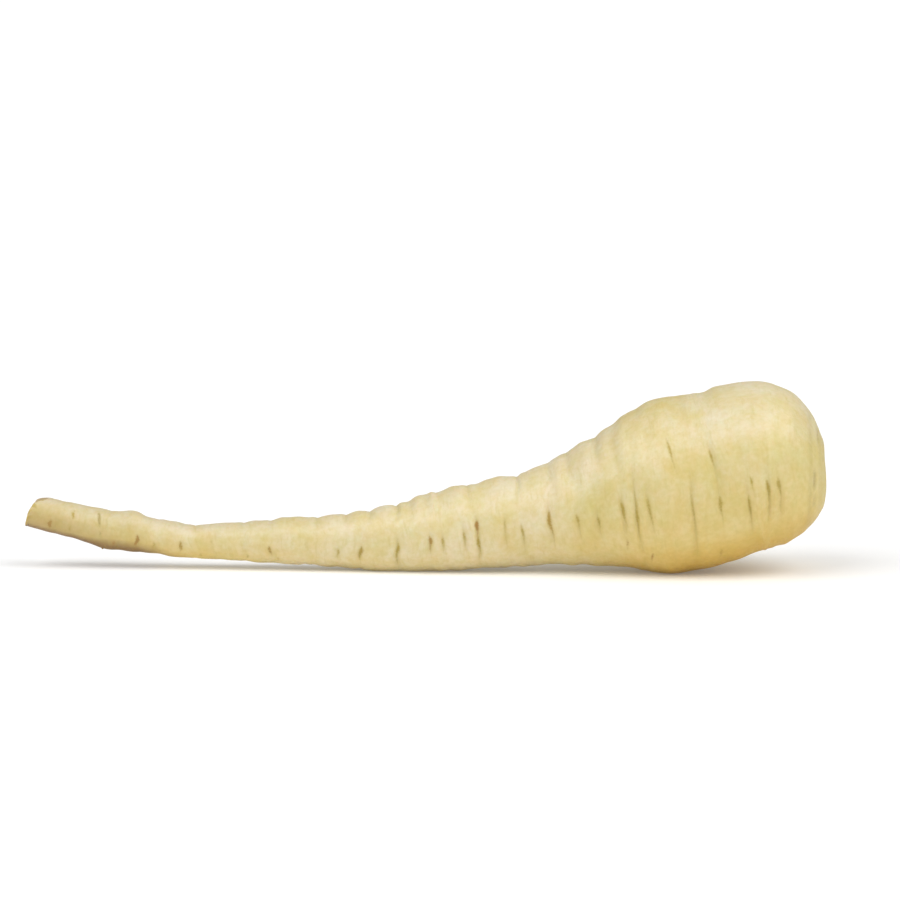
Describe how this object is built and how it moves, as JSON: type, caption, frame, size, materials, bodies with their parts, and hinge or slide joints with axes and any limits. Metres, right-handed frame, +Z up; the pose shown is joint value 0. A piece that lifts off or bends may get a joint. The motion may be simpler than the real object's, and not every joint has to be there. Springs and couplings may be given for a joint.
{
  "type": "parsnip",
  "caption": "Whole parsnip root lying on its belly, with a domed crown, a ringed waist and a long thin tail that curls up to a slanting cut end.",
  "frame": {"origin": "under the middle of the bounding box, on the surface that the root rests on", "axes": "+X along the root toward the crown, +Z up, the side shown in the picture faces -Y"},
  "size_m": [0.2728, 0.0582, 0.0648],
  "materials": {
    "skin": "matt to softly satin pale cream-yellow root skin with fine brown crease scars"
  },
  "bodies": {
    "root": {"parsnip_root": "skin"}
  },
  "joints": []
}
